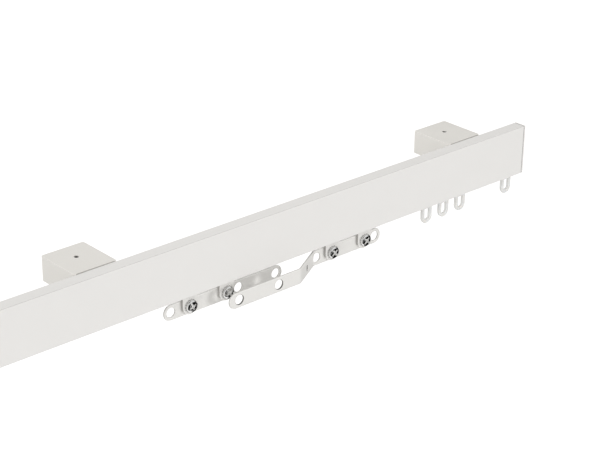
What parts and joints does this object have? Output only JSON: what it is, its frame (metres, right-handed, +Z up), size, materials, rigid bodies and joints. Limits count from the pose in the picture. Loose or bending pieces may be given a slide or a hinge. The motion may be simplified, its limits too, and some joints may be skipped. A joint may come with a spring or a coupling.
{
  "type": "curtain track",
  "caption": "Straight flat-fronted curtain track on box wall brackets, with eye gliders and overlapping draw arms on wheeled carriers.",
  "frame": {"origin": "centre of the middle bracket's wall face", "axes": "+X along the track to the right as seen from the room, +Y into the wall, +Z up"},
  "size_m": [0.714, 0.0516, 0.0491],
  "materials": {
    "rail_paint": "smooth white powder coat",
    "cap_plastic": "fine satin moulding",
    "bracket_paint": "white powder coat over a casting",
    "base_zinc": "zinc plated",
    "fastener_zinc": "zinc plated, machined",
    "fastener_black": "blackened steel",
    "fastener_chrome": "polished nickel-chrome plate",
    "glider_plastic": "satin moulded",
    "carrier_plastic": "satin moulded",
    "wheel_plastic": "smooth moulded",
    "stop_plastic": "satin moulded",
    "arm_paint": "white enamel on steel strip"
  },
  "bodies": {
    "track": {"rail": "rail_paint", "end_cap_left": "cap_plastic", "end_cap_right": "cap_plastic", "bracket_left_housing": "bracket_paint", "bracket_left_base": "base_zinc", "bracket_middle_housing": "bracket_paint", "bracket_middle_base": "base_zinc", "bracket_right_housing": "bracket_paint", "bracket_right_base": "base_zinc", "bracket_slide_nuts": "fastener_zinc", "bracket_clamp_screws": "fastener_zinc", "bracket_grub_screws": "fastener_black", "end_stop_screws": "fastener_zinc", "end_stop_left": "stop_plastic", "end_stop_right": "stop_plastic"},
    "glider_left_1": {"glider_left_1": "glider_plastic"},
    "glider_left_2": {"glider_left_2": "glider_plastic"},
    "glider_left_3": {"glider_left_3": "glider_plastic"},
    "glider_left_end": {"glider_left_end": "glider_plastic"},
    "glider_right_1": {"glider_right_1": "glider_plastic"},
    "glider_right_2": {"glider_right_2": "glider_plastic"},
    "glider_right_3": {"glider_right_3": "glider_plastic"},
    "glider_right_end": {"glider_right_end": "glider_plastic"},
    "arm_left": {"carrier_left": "carrier_plastic", "arm_left": "arm_paint", "arm_left_screws": "fastener_chrome", "arm_left_nuts": "fastener_zinc"},
    "wheelset_left_inner": {"wheels_left_inner": "wheel_plastic", "axle_left_inner": "fastener_zinc"},
    "wheelset_left_outer": {"wheels_left_outer": "wheel_plastic", "axle_left_outer": "fastener_zinc"},
    "arm_right": {"carrier_right": "carrier_plastic", "arm_right": "arm_paint", "arm_right_screws": "fastener_chrome", "arm_right_nuts": "fastener_zinc"},
    "wheelset_right_inner": {"wheels_right_inner": "wheel_plastic", "axle_right_inner": "fastener_zinc"},
    "wheelset_right_outer": {"wheels_right_outer": "wheel_plastic", "axle_right_outer": "fastener_zinc"}
  },
  "joints": [
    {"name": "glider_left_1_slide", "type": "slide", "parent": "track", "child": "glider_left_1", "axis": [1, 0, 0], "range_m": [-0.006, 0.3045]},
    {"name": "glider_left_2_slide", "type": "slide", "parent": "track", "child": "glider_left_2", "axis": [1, 0, 0], "range_m": [-0.006, 0.006]},
    {"name": "glider_left_3_slide", "type": "slide", "parent": "track", "child": "glider_left_3", "axis": [1, 0, 0], "range_m": [-0.022, 0.006]},
    {"name": "glider_left_end_slide", "type": "slide", "parent": "track", "child": "glider_left_end", "axis": [1, 0, 0], "range_m": [-0.0057, 0.0017]},
    {"name": "glider_right_1_slide", "type": "slide", "parent": "track", "child": "glider_right_1", "axis": [1, 0, 0], "range_m": [-0.038, 0.006]},
    {"name": "glider_right_2_slide", "type": "slide", "parent": "track", "child": "glider_right_2", "axis": [1, 0, 0], "range_m": [-0.006, 0.006]},
    {"name": "glider_right_3_slide", "type": "slide", "parent": "track", "child": "glider_right_3", "axis": [1, 0, 0], "range_m": [-0.006, 0.022]},
    {"name": "glider_right_end_slide", "type": "slide", "parent": "track", "child": "glider_right_end", "axis": [1, 0, 0], "range_m": [-0.0017, 0.0057]},
    {"name": "arm_left_slide", "type": "slide", "parent": "track", "child": "arm_left", "axis": [1, 0, 0], "range_m": [-0.3045, 0.0225]},
    {"name": "wheelset_left_inner_roll", "type": "hinge", "parent": "arm_left", "child": "wheelset_left_inner", "pos_m": [0.05525, -0.0377, -0.0226], "axis": [0, 1, 0], "continuous": true},
    {"name": "wheelset_left_outer_roll", "type": "hinge", "parent": "arm_left", "child": "wheelset_left_outer", "pos_m": [0.09825, -0.0377, -0.0226], "axis": [0, 1, 0], "continuous": true},
    {"name": "arm_right_slide", "type": "slide", "parent": "track", "child": "arm_right", "axis": [1, 0, 0], "range_m": [-0.0225, 0.038]},
    {"name": "wheelset_right_inner_roll", "type": "hinge", "parent": "arm_right", "child": "wheelset_right_inner", "pos_m": [0.17085, -0.0377, -0.0226], "axis": [0, 1, 0], "continuous": true},
    {"name": "wheelset_right_outer_roll", "type": "hinge", "parent": "arm_right", "child": "wheelset_right_outer", "pos_m": [0.21385, -0.0377, -0.0226], "axis": [0, 1, 0], "continuous": true}
  ],
  "couplings": [
    {"joint": "wheelset_left_inner_roll", "follows": "arm_left_slide", "rad_per_m": 285.71},
    {"joint": "wheelset_left_outer_roll", "follows": "arm_left_slide", "rad_per_m": 285.71},
    {"joint": "wheelset_right_inner_roll", "follows": "arm_right_slide", "rad_per_m": 285.71},
    {"joint": "wheelset_right_outer_roll", "follows": "arm_right_slide", "rad_per_m": 285.71}
  ]
}
